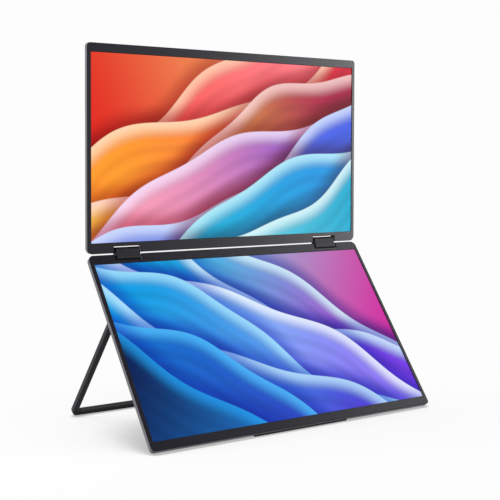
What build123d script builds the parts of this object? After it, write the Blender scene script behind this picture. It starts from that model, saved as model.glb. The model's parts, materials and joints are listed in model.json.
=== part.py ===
from build123d import *
import os
from math import acos, atan2, cos, degrees, hypot, radians, sin

os.makedirs("parts", exist_ok=True)

# Dual portable monitor: two hinged screens on a kickstand. Millimetres and degrees.
# Each screen is drawn in a panel frame: origin on its hinge axis, +Y from the hinge to the far edge,
# +Z out of the display. The lower screen is the same panel given a half turn about +Z.

# Display and outline of one screen
ACTIVE_W = 344.16
ACTIVE_H = 193.59
SIDE_BEZEL = 4.5
FAR_BEZEL = 9.4
HINGE_BEZEL = 11.0
PANEL_T = 6.2
HINGE_CORNER_R = 6.0
FAR_CORNER_R = 4.0
REAR_EDGE_R = 1.5

# Shell of one screen
WALL = 1.2
REAR_WALL = 1.0
BEZEL_T = 0.8
BEZEL_EDGE = 0.5

# Display stack
LCD_T = 1.1
LCD_SIDE_BORDER = 2.2
LCD_HINGE_BORDER = 1.4
LCD_FAR_BORDER = 5.0
DIFFUSER_T = 0.4
GUIDE_T = 1.2
TRAY_T = 0.4
TRAY_RIM = 0.4
LED_FLEX_T = 0.3
LED_T = 0.6
LED_W = 2.4
LED_PITCH = 7.0
LED_GAP = 0.1
TAPE_END_GAP = 27.0
TAPE_W = 12.0
TAPE_SHARES = (0.38, 0.74)
DRIVER_BOARD_L = 240.0
DRIVER_BOARD_W = 11.0
DRIVER_BOARD_T = 0.6
DRIVER_BOARD_INSET = 4.0
DRIVER_CHIP = (16.0, 4.0, 0.45)
DRIVER_CHIP_PITCH = 55.0

# Pose of the stored part: lean from upright
LOWER_LEAN = 37.0
UPPER_LEAN = 0.0

# Two-axis hinge
AXIS_SPACING = 7.4
EDGE_PAST_AXIS = 2.3
HINGE_INSET = 46.1
BLOCK_W = 28.5
BLOCK_R = 3.5
COVER_WALL = 0.7
COVER_EDGE = 0.5
NOTCH_SIDE_GAP = 1.75
NOTCH_END_GAP = 1.1
SHAFT_R = 1.5
RUN_CLEAR = 0.05
PLATE_T = 0.8
ARM_T = 1.0
ARM_GAP = 0.4
ARM_BAR_H = 1.15
EYE_R = 2.4
SLOT_CLEAR = 0.15
LEAF_L = 28.0
LEAF_W = 12.0
LEAF_T = 0.8
LEAF_EDGE_GAP = 1.6
LEAF_SCREW_PITCH = 9.0
FRICTION_T = 0.6
FRICTION_R = 2.6
SPRING_COUNT = 4
SPRING_T = 0.35
SPRING_CONE = 0.3
SPRING_R = 2.4
NUT_T = 1.4
NUT_R = 2.55
STACK_GAP = 0.1
PLATE_INSET = 2.0
JOURNAL_R = 0.9

# Kickstand
STAND_INSET = 8.0
PIVOT_Y = 65.8
STAND_LEG = 145.5
LEG_W = 6.3
BAR_W = 6.4
STAND_T = 5.8
STAND_GAP = 0.3
STAND_CORNER_R = 8.0
STAND_INNER_R = 2.0
STAND_EDGE_R = 1.0
GRIP_L = 280.0
GRIP_H = 0.9
GRIP_FLAT = 0.3
FRAME_LIFT = 0.15
PIN_R = 1.5
PIN_HEAD_R = 2.2
PIN_HEAD_T = 0.9
PIN_GAP = 0.1
PIN_DEPTH = 9.0
STAND_WASHER_T = 0.3
STAND_WASHER_R = 2.7

# Front foot
FOOT_L = 119.0
FOOT_W = 4.0
FOOT_PROUD = 0.75

# Electronics housing on the lower screen's back
HOUSING_Y0 = 20.0
HOUSING_PROUD = 0.2
HOUSING_WALL = 1.5
HOUSING_BACK = 1.4
HOUSING_CORNER_R = 3.0
HOUSING_EDGE_R = 1.2
HOUSING_GAP = 1.2
LUG_W = 11.0
LUG_REACH = 5.0
CABLE_HOLE = (60.0, 8.0)
VENT_COUNT = 15
VENT_PITCH = 5.0
VENT_L = 16.0
VENT_W = 2.0
BOARD_L = 96.0
BOARD_W = 34.0
BOARD_T = 1.0
BOARD_GAP = 0.4
BOSS_R = 2.5
BOSS_INSET = 6.0
SHIELD = (30.0, 20.0, 1.8)
SOCKET_MOUTH = 0.2
SOCKET_CLEAR = 0.15
SOCKET_SHELL = 0.3
SOCKET_BACK = 1.0
SOCKET_CORNER_R = 1.4
SOCKET_FLOOR_GAP = 0.2
USB_W = 8.94
USB_H = 3.26
USB_DEPTH = 7.3
USB_PLACES = (29.0, 40.0)
USB_TONGUE = (6.7, 0.7, 4.5)
HDMI_W = 11.2
HDMI_H = 3.2
HDMI_DEPTH = 7.5
HDMI_PLACE = 52.0
HDMI_TONGUE = (8.4, 0.8, 5.0)
BUTTON_W = 2.6
BUTTON_CORNER_R = 1.1
BUTTON_PROUD = 0.5
BUTTON_TRAVEL = 0.4
BUTTON_CLEAR = 0.2
BUTTON_FLANGE = 1.0
BUTTON_FLANGE_T = 0.8
BUTTONS = {"power_button": (29.0, 9.0), "menu_up_button": (41.0, 6.0), "menu_down_button": (51.0, 6.0)}
SWITCH = (2.6, 4.0, 2.0)
BUTTON_BOARD_L = 14.0
BUTTON_BOARD_W = 34.0

# Screws, shared by all fastened pieces
SCREW_R = 1.0
SCREW_HEAD_R = 1.9
SCREW_HEAD_T = 1.0
SCREW_CROSS = (2.4, 0.5, 0.5)
LEAF_SCREW_R = 0.8
LEAF_SCREW_HEAD_R = 1.5
LEAF_SCREW_HEAD_T = 0.35
LEAF_SCREW_BITE = 0.7
SCREW_POST_R = 3.0
SCREW_SEAT = 1.3
TRAY_BOSS_H = 0.9

# Places worked out from the sizes above
PANEL_W = ACTIVE_W + 2 * SIDE_BEZEL
PANEL_H = ACTIVE_H + FAR_BEZEL + HINGE_BEZEL
FRONT_Z = PANEL_T / 2
REAR_Z = -PANEL_T / 2
BEZEL_Z = FRONT_Z - BEZEL_T
FLOOR_Z = REAR_Z + REAR_WALL
NEAR_Y = -EDGE_PAST_AXIS
FAR_Y = NEAR_Y + PANEL_H
ACTIVE_Y0 = NEAR_Y + HINGE_BEZEL
ACTIVE_Y1 = ACTIVE_Y0 + ACTIVE_H
LCD_X = ACTIVE_W / 2 + LCD_SIDE_BORDER
LCD_Y0 = ACTIVE_Y0 - LCD_HINGE_BORDER
LCD_Y1 = ACTIVE_Y1 + LCD_FAR_BORDER
LCD_Z = BEZEL_Z - LCD_T
DIFFUSER_Z = LCD_Z - DIFFUSER_T
GUIDE_Z = DIFFUSER_Z - GUIDE_T
TRAY_Z = GUIDE_Z - TRAY_T
HINGE_X = PANEL_W / 2 - HINGE_INSET
TAPE_X = ACTIVE_W / 2 - TAPE_END_GAP
TAPE_PLACES = [ACTIVE_Y0 + share * ACTIVE_H for share in TAPE_SHARES]
NOTCH_Y = BLOCK_R + NOTCH_END_GAP
NOTCH_X = BLOCK_W / 2 + NOTCH_SIDE_GAP

# Stations along a hinge, counted outwards from its middle
ARM_X0 = BLOCK_W / 2 + ARM_GAP
ARM_X1 = ARM_X0 + ARM_T
OUTER_PLATE_X = BLOCK_W / 2 - PLATE_T
FRICTION_X = OUTER_PLATE_X - RUN_CLEAR - FRICTION_T
SPRING_X = FRICTION_X - SPRING_COUNT * (SPRING_T + SPRING_CONE)
NUT_X = SPRING_X - NUT_T
INNER_PLATE_X = COVER_WALL + PLATE_INSET - BLOCK_W / 2
JOURNAL_X = INNER_PLATE_X - STACK_GAP
SHOULDER_X = INNER_PLATE_X + PLATE_T + STACK_GAP

# Stand and housing
LEG_X1 = PANEL_W / 2 - STAND_INSET
LEG_X0 = LEG_X1 - LEG_W
PIVOT_Z = REAR_Z - STAND_GAP - STAND_T / 2
LUG_X1 = LEG_X0 - PIN_GAP - STAND_WASHER_T
LUG_X0 = LUG_X1 - LUG_W
HOUSING_D = STAND_GAP + STAND_T + HOUSING_PROUD
HOUSING_Z = REAR_Z - HOUSING_D
HOUSING_Y1 = PIVOT_Y - STAND_T / 2 - HOUSING_GAP
HOUSING_MID_Y = (HOUSING_Y0 + HOUSING_Y1) / 2
HOUSING_FLOOR_Z = HOUSING_Z + HOUSING_BACK
BOARD_Z = HOUSING_FLOOR_Z + SOCKET_FLOOR_GAP + USB_H
BUTTON_Z = (HOUSING_FLOOR_Z + REAR_Z) / 2
SWITCH_X = LEG_X1 - HOUSING_WALL - BUTTON_FLANGE_T - BUTTON_TRAVEL - PIN_GAP
BOARD_X1 = LEG_X1 - HOUSING_WALL - BOARD_GAP
BOARD_X0 = BOARD_X1 - BOARD_L
POST_X = LUG_X0 - BOSS_INSET
POSTS = [(sx * POST_X, y) for sx in (-1, 1) for y in (HOUSING_Y0 + BOSS_INSET, HOUSING_Y1 - BOSS_INSET)]

# Pose: the lower screen's rounded bottom edge stands FOOT_PROUD above the floor, over the origin
lean = radians(LOWER_LEAN)
link_lean = radians((LOWER_LEAN + UPPER_LEAN) / 2)
edge_y = FAR_Y - REAR_EDGE_R
edge_z = REAR_Z + REAR_EDGE_R
axis_y = edge_y * sin(lean) + edge_z * cos(lean)
axis_z = edge_y * cos(lean) - edge_z * sin(lean) + REAR_EDGE_R + FOOT_PROUD
half = AXIS_SPACING / 2
link_y = axis_y + half * sin(link_lean)
link_z = axis_z + half * cos(link_lean)
upper_y = link_y + half * sin(link_lean)
upper_z = link_z + half * cos(link_lean)

# The kickstand opens until the rounded corner of its bar dips GRIP_FLAT below the floor plane
pivot_y = axis_y - PIVOT_Y * sin(lean) - PIVOT_Z * cos(lean)
pivot_z = axis_z - PIVOT_Y * cos(lean) + PIVOT_Z * sin(lean)
corner_along = STAND_LEG - STAND_EDGE_R
corner_across = STAND_T / 2 - STAND_EDGE_R
corner_drop = pivot_z - STAND_EDGE_R + GRIP_FLAT
stand_lean = atan2(corner_across, corner_along) + acos(corner_drop / hypot(corner_along, corner_across))

UPPER = Location((0, upper_y, upper_z), (90 - UPPER_LEAN, 0, 0))
LOWER = Location((0, axis_y, axis_z), (90 - LOWER_LEAN, 0, 0)) * Location((0, 0, 0), (0, 0, 180))
LINK = Location((0, link_y, link_z), (90 - degrees(link_lean), 0, 0))
STAND = Location((0, pivot_y, pivot_z), (degrees(stand_lean) - 90, 0, 0))


def block(x0, x1, y0, y1, z0, z1):
    """Box between two corners."""
    return Pos((x0 + x1) / 2, (y0 + y1) / 2, (z0 + z1) / 2) * Box(x1 - x0, y1 - y0, z1 - z0)


def rod(radius, x0, x1, y=0, z=0):
    """Cylinder along X."""
    return Pos((x0 + x1) / 2, y, z) * Rot(0, 90, 0) * Cylinder(radius, x1 - x0)


def post(radius, x, y, z0, z1):
    """Cylinder along Z."""
    return Pos(x, y, (z0 + z1) / 2) * Cylinder(radius, z1 - z0)


def along_x(face, x0, length):
    """Extrusion along X of a face drawn with its own X along Y and its own Y along Z."""
    return Pos(x0, 0, 0) * (Plane.YZ * extrude(face, length))


def other_side(shape):
    """Mirror image on the other side of the middle plane."""
    return mirror(shape, about=Plane.YZ)


def group(shapes):
    """Several separate solids kept in one node."""
    return Compound([solid for shape in shapes for solid in shape.solids()])


# One screen, in the panel frame
def outline(inset):
    """Outline of a screen, drawn in from its edge."""
    face = Rectangle(PANEL_W - 2 * inset, PANEL_H - 2 * inset)
    face = fillet(face.vertices().group_by(Axis.Y)[0], HINGE_CORNER_R - inset)
    face = fillet(face.vertices().group_by(Axis.Y)[-1], FAR_CORNER_R - inset)
    return Pos(0, NEAR_Y + PANEL_H / 2) * face


def envelope():
    """Solid outer form of a rear cover, with its rounded rear edge."""
    body = extrude(Pos(0, 0, REAR_Z) * outline(0), BEZEL_Z - REAR_Z)
    return fillet(body.edges().group_by(Axis.Z)[0], REAR_EDGE_R)


def notch(side, grow):
    """Space cut through a screen's hinge edge for a hinge block."""
    x = side * HINGE_X
    reach = NOTCH_X + grow
    return block(x - reach, x + reach, NEAR_Y - PANEL_T, NOTCH_Y + grow, 2 * REAR_Z, 2 * FRONT_Z)


def leaf_screw_places():
    """Screw centres on the right-hand hinge leaf."""
    middle = HINGE_X + ARM_X1 - LEAF_L / 2
    y = NOTCH_Y + WALL + LEAF_EDGE_GAP + LEAF_W / 2
    return [(middle + step * LEAF_SCREW_PITCH, y) for step in (-1, 0, 1)]


def rear_cover():
    cover = envelope()
    cavity = extrude(Pos(0, 0, FLOOR_Z) * outline(WALL), PANEL_T)
    for side in (-1, 1):
        cavity -= notch(side, WALL)
    cover -= cavity
    slot = block(
        HINGE_X + ARM_X0 - SLOT_CLEAR, HINGE_X + ARM_X1 + SLOT_CLEAR,
        NOTCH_Y - WALL, NOTCH_Y + 2 * WALL, FLOOR_Z, FLOOR_Z + ARM_BAR_H + SLOT_CLEAR,
    )
    for side in (-1, 1):
        cover -= notch(side, 0)
    cover -= [slot, other_side(slot)]
    for x, y in leaf_screw_places():
        hole = post(LEAF_SCREW_R, x, y, FLOOR_Z - LEAF_SCREW_BITE, FLOOR_Z)
        cover -= [hole, other_side(hole)]
    return cover


def front_bezel():
    frame = extrude(Pos(0, 0, BEZEL_Z) * outline(0), BEZEL_T)
    frame -= block(-ACTIVE_W / 2, ACTIVE_W / 2, ACTIVE_Y0, ACTIVE_Y1, REAR_Z, PANEL_T)
    for side in (-1, 1):
        frame -= notch(side, 0)
    return chamfer(frame.edges().group_by(Axis.Z)[-1], BEZEL_EDGE)


def lcd_cell():
    return block(-LCD_X, LCD_X, LCD_Y0, LCD_Y1, LCD_Z, BEZEL_Z)


def backlight_tray():
    tray = block(-LCD_X, LCD_X, LCD_Y0, LCD_Y1, TRAY_Z, LCD_Z)
    inner = LCD_X - TRAY_RIM
    return tray - block(-inner, inner, LCD_Y0 + TRAY_RIM, LCD_Y1 - TRAY_RIM, GUIDE_Z, FRONT_Z)


def diffuser_sheet():
    inner = LCD_X - TRAY_RIM
    return block(-inner, inner, LCD_Y0 + TRAY_RIM, LCD_Y1 - TRAY_RIM, DIFFUSER_Z, LCD_Z)


def light_guide():
    inner = LCD_X - TRAY_RIM
    y0 = LCD_Y0 + TRAY_RIM + LED_FLEX_T + LED_T + LED_GAP
    return block(-inner, inner, y0, LCD_Y1 - TRAY_RIM, GUIDE_Z, DIFFUSER_Z)


def led_strip():
    inner = LCD_X - TRAY_RIM
    y0 = LCD_Y0 + TRAY_RIM
    strip = block(-inner, inner, y0, y0 + LED_FLEX_T, GUIDE_Z, DIFFUSER_Z)
    count = int((2 * inner - LED_W) / LED_PITCH)
    first = -(count - 1) / 2 * LED_PITCH
    leds = []
    for index in range(count):
        x = first + index * LED_PITCH
        y1 = y0 + LED_FLEX_T
        leds.append(block(x - LED_W / 2, x + LED_W / 2, y1, y1 + LED_T, GUIDE_Z, DIFFUSER_Z))
    return strip + leds


def mount_tape():
    strips = []
    for y in TAPE_PLACES:
        strips.append(block(-TAPE_X, TAPE_X, y - TAPE_W / 2, y + TAPE_W / 2, FLOOR_Z, TRAY_Z))
    return group(strips)


def driver_board():
    y1 = ACTIVE_Y1 - DRIVER_BOARD_INSET
    y0 = y1 - DRIVER_BOARD_W
    top = FLOOR_Z + DRIVER_BOARD_T
    board = block(-DRIVER_BOARD_L / 2, DRIVER_BOARD_L / 2, y0, y1, FLOOR_Z, top)
    length, width, height = DRIVER_CHIP
    middle = (y0 + y1) / 2
    for step in (-1.5, -0.5, 0.5, 1.5):
        x = step * DRIVER_CHIP_PITCH
        y2 = middle - width / 2
        board += block(x - length / 2, x + length / 2, y2, y2 + width, top, top + height)
    return board


def hinge_bracket():
    """Right-hand bracket: an eye on the hinge axis, an arm beside the hinge block, a leaf on the cover."""
    x0 = HINGE_X + ARM_X0
    x1 = HINGE_X + ARM_X1
    leaf_y0 = NOTCH_Y + WALL + LEAF_EDGE_GAP
    leaf_y1 = leaf_y0 + LEAF_W
    bracket = rod(EYE_R, x0, x1)
    bracket += block(x0, x1, 0, leaf_y1, FLOOR_Z, FLOOR_Z + ARM_BAR_H)
    bracket += block(x1 - LEAF_L, x1, leaf_y0, leaf_y1, FLOOR_Z, FLOOR_Z + LEAF_T)
    bracket -= rod(SHAFT_R, x0 - ARM_T, x1 + ARM_T)
    for x, y in leaf_screw_places():
        bracket -= post(LEAF_SCREW_R, x, y, FLOOR_Z, FLOOR_Z + LEAF_T)
    return bracket


def bracket_screws():
    screws = []
    top = FLOOR_Z + LEAF_T
    for x, y in leaf_screw_places():
        screw = post(LEAF_SCREW_HEAD_R, x, y, top, top + LEAF_SCREW_HEAD_T)
        screw += post(LEAF_SCREW_R, x, y, FLOOR_Z - LEAF_SCREW_BITE, top)
        screws += [screw, other_side(screw)]
    return group(screws)


# Right-hand hinge, in the link frame: origin midway between the axes, +Y from the lower axis to the upper
def stadium(radius):
    """Section of the hinge block, round about both axes."""
    return Rot(0, 0, 90) * SlotCenterToCenter(AXIS_SPACING, radius * 2)


def link_slab(radius, x0, x1):
    return along_x(Rot(0, 0, -90) * stadium(radius), HINGE_X + x0, x1 - x0)


def hinge_cover():
    """Sleeve of the hinge block, closed at its inner end."""
    cover = link_slab(BLOCK_R, -BLOCK_W / 2, BLOCK_W / 2)
    ends = cover.edges().group_by(Axis.X)
    cover = fillet(ends[0] + ends[-1], COVER_EDGE)
    return cover - link_slab(BLOCK_R - COVER_WALL, COVER_WALL - BLOCK_W / 2, BLOCK_W)


def link_plates():
    """Two plates, fixed in the hinge block, that the shafts turn in."""
    radius = BLOCK_R - COVER_WALL
    outer = link_slab(radius, OUTER_PLATE_X, OUTER_PLATE_X + PLATE_T)
    inner = link_slab(radius, INNER_PLATE_X, INNER_PLATE_X + PLATE_T)
    start = HINGE_X - BLOCK_W
    end = HINGE_X + BLOCK_W
    for y in (-half, half):
        outer -= rod(SHAFT_R + RUN_CLEAR, start, end, y)
        inner -= rod(JOURNAL_R + RUN_CLEAR, start, end, y)
    return group([outer, inner])


def hinge_shaft(y):
    """Shaft fixed in a bracket's eye, with a thinner journal at its inner end."""
    shaft = rod(SHAFT_R, HINGE_X + SHOULDER_X, HINGE_X + ARM_X1, y)
    return shaft + rod(JOURNAL_R, HINGE_X + JOURNAL_X, HINGE_X + SHOULDER_X, y)


def friction_washer(y):
    start = HINGE_X + FRICTION_X
    return rod(FRICTION_R, start, start + FRICTION_T, y) - rod(SHAFT_R, start, start + FRICTION_T, y)


def disc_springs(y):
    """Coned washers stacked in opposite directions."""
    springs = []
    for index in range(SPRING_COUNT):
        x = HINGE_X + SPRING_X + index * (SPRING_T + SPRING_CONE)
        rim, bore = (0, SPRING_CONE) if index % 2 else (SPRING_CONE, 0)
        corners = ((x + bore, SHAFT_R), (x + bore + SPRING_T, SHAFT_R),
                   (x + rim + SPRING_T, SPRING_R), (x + rim, SPRING_R))
        springs.append(Pos(0, y, 0) * revolve(make_face(Polyline(*corners, close=True)), Axis.X))
    return springs


def shaft_nut(y):
    start = HINGE_X + NUT_X
    nut = Pos(0, y, 0) * along_x(RegularPolygon(NUT_R, 6), start, NUT_T)
    return nut - rod(SHAFT_R, start, start + NUT_T, y)


# Electronics housing, in the lower panel's frame: its +X end is at the viewer's left
def rear_housing():
    plan = Rectangle(2 * LEG_X1, HOUSING_Y1 - HOUSING_Y0)
    plan = fillet(plan.vertices(), HOUSING_CORNER_R)
    body = extrude(Pos(0, HOUSING_MID_Y, HOUSING_Z) * plan, HOUSING_D)
    lug = block(LUG_X0, LUG_X1, HOUSING_MID_Y, PIVOT_Y + LUG_REACH, HOUSING_Z, REAR_Z)
    lug = fillet(lug.edges().filter_by(Axis.Z).group_by(Axis.Y)[-1], HOUSING_CORNER_R)
    body += [lug, other_side(lug)]
    body = fillet(body.edges().group_by(Axis.Z)[0], HOUSING_EDGE_R)
    inner = Rectangle(2 * (LEG_X1 - HOUSING_WALL), HOUSING_Y1 - HOUSING_Y0 - 2 * HOUSING_WALL)
    inner = fillet(inner.vertices(), HOUSING_CORNER_R - HOUSING_WALL)
    body -= extrude(Pos(0, HOUSING_MID_Y, HOUSING_FLOOR_Z) * inner, HOUSING_D)
    slot = Rot(0, 0, 90) * SlotOverall(VENT_L, VENT_W)
    vent = extrude(Pos(0, HOUSING_MID_Y, HOUSING_Z) * slot, HOUSING_BACK)
    for index in range(VENT_COUNT):
        body -= Pos((index - (VENT_COUNT - 1) / 2) * VENT_PITCH, 0, 0) * vent
    for x, y in board_boss_places():
        body += post(BOSS_R, x, y, HOUSING_FLOOR_Z, BOARD_Z) - post(SCREW_R, x, y, HOUSING_FLOOR_Z, BOARD_Z)
    for x, y in POSTS:
        body += post(SCREW_POST_R, x, y, HOUSING_FLOOR_Z, REAR_Z)
        body -= post(SCREW_R, x, y, HOUSING_Z, REAR_Z)
        body -= post(SCREW_HEAD_R + SLOT_CLEAR, x, y, HOUSING_Z, HOUSING_Z + SCREW_SEAT)
    pin_hole = rod(PIN_R, LUG_X1 - PIN_DEPTH, LUG_X1, PIVOT_Y, PIVOT_Z)
    body -= [pin_hole, other_side(pin_hole)]
    for y, width, height in socket_places():
        body -= other_side(socket_form(y, width, height, LEG_X1 - 2 * HOUSING_WALL, LEG_X1, -SOCKET_CLEAR))
    for y, length in BUTTONS.values():
        body -= button_form(y, length, LEG_X1 - 2 * HOUSING_WALL, LEG_X1, BUTTON_CLEAR)
    return body


def lower_rear_cover():
    """The common rear cover with a cable hole and bosses for the housing screws."""
    cover = rear_cover()
    length, width = CABLE_HOLE
    y0 = HOUSING_MID_Y - width / 2
    cover -= block(-length / 2, length / 2, y0, y0 + width, REAR_Z, FLOOR_Z)
    for x, y in POSTS:
        cover += post(SCREW_POST_R, x, y, FLOOR_Z, FLOOR_Z + TRAY_BOSS_H)
        cover -= post(SCREW_R, x, y, REAR_Z, FLOOR_Z + TRAY_BOSS_H)
    return cover


def housing_screws():
    """Screws from the rear through the housing into the lower cover's bosses, with cross recesses."""
    length, width, depth = SCREW_CROSS
    screws = []
    for x, y in POSTS:
        seat = HOUSING_Z + SCREW_SEAT
        top = seat - SCREW_HEAD_T
        screw = post(SCREW_HEAD_R, x, y, top, seat)
        screw += post(SCREW_R, x, y, seat, FLOOR_Z + TRAY_BOSS_H)
        for run, across in ((length, width), (width, length)):
            screw -= block(x - run / 2, x + run / 2, y - across / 2, y + across / 2, top, top + depth)
        screws.append(screw)
    return group(screws)


def board_boss_places():
    """Boss centres under the main board, which lies at the viewer's right."""
    xs = (-BOARD_X0 - BOSS_INSET, -BOARD_X0 - BOARD_L / 2)
    ys = (HOUSING_MID_Y - BOARD_W / 2 + BOSS_INSET, HOUSING_MID_Y + BOARD_W / 2 - BOSS_INSET)
    return [(x, y) for x in xs for y in ys]


def main_board():
    y0 = HOUSING_MID_Y - BOARD_W / 2
    board = block(-BOARD_X1, -BOARD_X0, y0, y0 + BOARD_W, BOARD_Z, BOARD_Z + BOARD_T)
    for x, y in board_boss_places():
        board -= post(SCREW_R, x, y, BOARD_Z, BOARD_Z + BOARD_T)
    for x, y in POSTS:
        board -= post(SCREW_POST_R + BOARD_GAP, x, y, BOARD_Z, BOARD_Z + BOARD_T)
    return board


def board_screws():
    screws = []
    top = BOARD_Z + BOARD_T
    for x, y in board_boss_places():
        screw = post(SCREW_HEAD_R, x, y, top, top + LEAF_SCREW_HEAD_T)
        screws.append(screw + post(SCREW_R, x, y, HOUSING_FLOOR_Z, top))
    return group(screws)


def shield_can():
    """Screening can soldered under the main board."""
    length, width, height = SHIELD
    x = -(BOARD_X0 + BOARD_L / 4)
    y = HOUSING_MID_Y
    return block(x - length / 2, x + length / 2, y - width / 2, y + width / 2, BOARD_Z - height, BOARD_Z)


def socket_places():
    """Place along the housing's end, width and height of each socket."""
    usb = [(y, USB_W, USB_H) for y in USB_PLACES]
    return usb + [(HDMI_PLACE, HDMI_W, HDMI_H)]


def socket_form(y, width, height, x0, x1, inset):
    """Rounded slot under the main board, drawn in all round by inset."""
    face = RectangleRounded(width - 2 * inset, height - 2 * inset, SOCKET_CORNER_R - inset)
    return Pos(0, y, BOARD_Z - height / 2) * along_x(face, x0, x1 - x0)


def socket(y, width, height, depth, tongue):
    """Open shell with a contact tongue, its mouth just inside the housing's end face."""
    mouth = LEG_X1 - SOCKET_MOUTH
    back = mouth - depth
    shell = socket_form(y, width, height, back, mouth, 0)
    shell -= socket_form(y, width, height, back + SOCKET_BACK, mouth, SOCKET_SHELL)
    tongue_w, tongue_t, tongue_l = tongue
    tip = back + SOCKET_BACK + tongue_l
    z = BOARD_Z - height / 2
    shell += block(back, tip, y - tongue_w / 2, y + tongue_w / 2, z - tongue_t / 2, z + tongue_t / 2)
    return other_side(shell)


def button_form(y, length, x0, x1, grow):
    """Rounded bar through the housing's end wall, grown all round."""
    face = RectangleRounded(length + 2 * grow, BUTTON_W + 2 * grow, BUTTON_CORNER_R + grow)
    return Pos(0, y, BUTTON_Z) * along_x(face, x0, x1 - x0)


def button(y, length):
    """Side button with a flange that bears on the housing's wall from inside."""
    inside = LEG_X1 - HOUSING_WALL
    cap = button_form(y, length, inside, LEG_X1 + BUTTON_PROUD, 0)
    cap = fillet(cap.edges().group_by(Axis.X)[-1], BUTTON_PROUD / 2)
    return cap + button_form(y, length, inside - BUTTON_FLANGE_T, inside, BUTTON_FLANGE / 2)


def tact_switches():
    depth, length, height = SWITCH
    z0 = BUTTON_Z - height / 2
    switches = []
    for y, _ in BUTTONS.values():
        switches.append(block(SWITCH_X - depth, SWITCH_X, y - length / 2, y + length / 2, z0, z0 + height))
    return group(switches)


def button_board():
    """Small board that lies on the housing's floor and carries the switches."""
    y0 = HOUSING_MID_Y - BUTTON_BOARD_W / 2
    top = BUTTON_Z - SWITCH[2] / 2
    return block(SWITCH_X - BUTTON_BOARD_L, SWITCH_X, y0, y0 + BUTTON_BOARD_W, HOUSING_FLOOR_Z, top)


# Kickstand, in the stand frame: origin on the pivot axis, +Y down the legs, +Z to the rear
def stand_blank():
    outer = Pos(0, STAND_LEG / 2) * Rectangle(2 * LEG_X1, STAND_LEG)
    outer = fillet(outer.vertices().group_by(Axis.Y)[-1], STAND_CORNER_R)
    inner = Pos(0, (STAND_LEG - BAR_W) / 2) * Rectangle(2 * LEG_X0, STAND_LEG - BAR_W)
    inner = fillet(inner.vertices().group_by(Axis.Y)[-1], STAND_INNER_R)
    frame = extrude(Pos(0, 0, -STAND_T / 2) * (outer - inner), STAND_T)
    levels = frame.edges().group_by(Axis.Z)
    rims = [edge for edge in levels[0] + levels[-1] if edge.center().Y > STAND_EDGE_R]
    frame = fillet(rims, STAND_EDGE_R)
    for side in (-1, 1):
        ends = sorted((side * LEG_X0, side * LEG_X1))
        frame += rod(STAND_T / 2, ends[0], ends[1])
    bore = rod(PIN_R + RUN_CLEAR, LEG_X0, LEG_X1)
    seat = rod(PIN_HEAD_R + PIN_GAP, LEG_X1 - PIN_HEAD_T - 2 * PIN_GAP, LEG_X1)
    return frame - [bore, seat, other_side(bore), other_side(seat)]


def stand_pieces():
    """Frame and rubber grip, cut to the floor plane where the bar's corner stands on it."""
    blank = STAND * stand_blank()
    span = STAND_LEG
    grip_zone = block(-GRIP_L / 2, GRIP_L / 2, pivot_y - span, pivot_y + span, 0, GRIP_H)
    below = block(-PANEL_W, PANEL_W, pivot_y - span, pivot_y + span, -span, FRAME_LIFT)
    grip = blank & grip_zone
    frame = blank - grip_zone - below
    return frame, grip


def stand_pin():
    """Pin in the lower panel's frame: its head sits in the leg, its end in the housing's lug."""
    head = LEG_X1 - PIN_GAP
    pin = rod(PIN_HEAD_R, head - PIN_HEAD_T, head, PIVOT_Y, PIVOT_Z)
    return pin + rod(PIN_R, LUG_X1 - PIN_DEPTH, head - PIN_HEAD_T, PIVOT_Y, PIVOT_Z)


def stand_washer():
    ring = rod(STAND_WASHER_R, LUG_X1, LUG_X1 + STAND_WASHER_T, PIVOT_Y, PIVOT_Z)
    return ring - rod(PIN_R, LUG_X1, LUG_X1 + STAND_WASHER_T, PIVOT_Y, PIVOT_Z)


def front_foot():
    """Rubber strip with slanted ends under the lower screen's rounded bottom edge, flush with its back."""
    top = REAR_EDGE_R + FOOT_PROUD
    slope = top / 2
    corners = ((-FOOT_L / 2 + FOOT_PROUD, 0), (FOOT_L / 2 - FOOT_PROUD, 0),
               (FOOT_L / 2 - FOOT_PROUD + slope, top), (-FOOT_L / 2 + FOOT_PROUD - slope, top))
    face = make_face(Polyline(*corners, close=True))
    strip = extrude(Plane.XZ * face, FOOT_W / 2, both=True)
    behind = block(-FOOT_L, FOOT_L, FAR_Y - 2 * FOOT_W, FAR_Y + 2 * FOOT_W, REAR_Z - FOOT_W, REAR_Z)
    return strip - LOWER * envelope() - LOWER * behind


nodes = {}

# Both screens
PIECES = {
    "front_bezel": front_bezel,
    "lcd_cell": lcd_cell,
    "diffuser_sheet": diffuser_sheet,
    "light_guide": light_guide,
    "led_strip": led_strip,
    "backlight_tray": backlight_tray,
    "mount_tape": mount_tape,
    "driver_board": driver_board,
    "bracket_screws": bracket_screws,
}
for name, make in PIECES.items():
    piece = make()
    nodes["lower_" + name] = LOWER * piece
    nodes["upper_" + name] = UPPER * piece
nodes["upper_rear_cover"] = UPPER * rear_cover()
nodes["lower_rear_cover"] = LOWER * lower_rear_cover()
bracket = hinge_bracket()
nodes["left_lower_hinge_bracket"] = LOWER * bracket
nodes["right_lower_hinge_bracket"] = LOWER * other_side(bracket)
nodes["right_upper_hinge_bracket"] = UPPER * bracket
nodes["left_upper_hinge_bracket"] = UPPER * other_side(bracket)

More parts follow.
